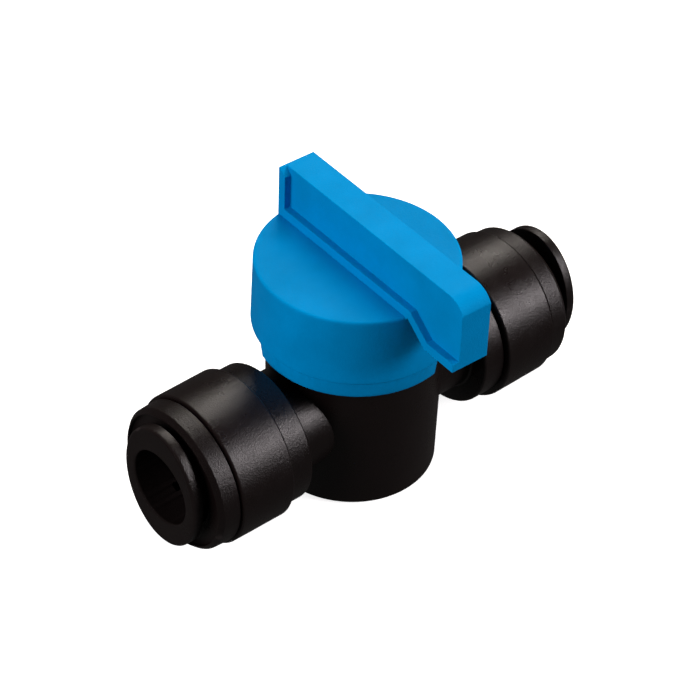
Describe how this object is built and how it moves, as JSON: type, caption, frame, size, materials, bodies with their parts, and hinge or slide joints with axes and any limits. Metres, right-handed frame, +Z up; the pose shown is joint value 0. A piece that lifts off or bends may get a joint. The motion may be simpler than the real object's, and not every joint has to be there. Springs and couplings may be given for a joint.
{
  "type": "inline push-fit ball valve",
  "caption": "Inline quarter-turn ball valve with a black plastic body, a blue winged knob and a push-fit tube socket at each end.",
  "frame": {"origin": "centre of the barrel's flat underside", "axes": "+X along the pipe towards the right port, +Z up along the stem, and -Y the way the knob's pointer faces when the valve is closed"},
  "size_m": [0.0658, 0.0357, 0.0398],
  "materials": {
    "blue_moulding": "satin, lightly grained",
    "black_moulding": "satin, fine spark-eroded grain",
    "black_trim": "satin",
    "rubber": "dull",
    "seat_plastic": "waxy",
    "ball_plastic": "polished",
    "tooth_steel": "bright, stamped"
  },
  "bodies": {
    "valve": {"valve_body": "black_moulding", "bonnet": "black_trim", "bonnet_seal": "rubber", "thrust_washer": "seat_plastic", "seat_left": "seat_plastic", "seat_seal_left": "rubber", "port_socket_left": "black_moulding", "tube_seal_left": "rubber", "seal_spacer_left": "black_trim", "cartridge_left": "black_trim", "seat_right": "seat_plastic", "seat_seal_right": "rubber", "port_socket_right": "black_moulding", "tube_seal_right": "rubber", "seal_spacer_right": "black_trim", "cartridge_right": "black_trim"},
    "handle": {"knob": "blue_moulding", "stem": "black_trim", "stem_seal_lower": "rubber", "stem_seal_upper": "rubber", "ball": "ball_plastic"},
    "collet_left": {"collet_left": "black_trim", "collet_tooth_left_1": "tooth_steel", "collet_tooth_left_2": "tooth_steel", "collet_tooth_left_3": "tooth_steel", "collet_tooth_left_4": "tooth_steel", "collet_tooth_left_5": "tooth_steel", "collet_tooth_left_6": "tooth_steel"},
    "collet_right": {"collet_right": "black_trim", "collet_tooth_right_1": "tooth_steel", "collet_tooth_right_2": "tooth_steel", "collet_tooth_right_3": "tooth_steel", "collet_tooth_right_4": "tooth_steel", "collet_tooth_right_5": "tooth_steel", "collet_tooth_right_6": "tooth_steel"}
  },
  "joints": [
    {"name": "handle_turn", "type": "hinge", "parent": "valve", "child": "handle", "pos_m": [0, 0, 0.0244], "axis": [0, 0, 1], "range_deg": [0, 92.3]},
    {"name": "collet_left_slide", "type": "slide", "parent": "valve", "child": "collet_left", "axis": [1, 0, 0], "range_m": [-0.0018, 0.0006]},
    {"name": "collet_right_slide", "type": "slide", "parent": "valve", "child": "collet_right", "axis": [-1, 0, 0], "range_m": [0, 0.0024]}
  ]
}
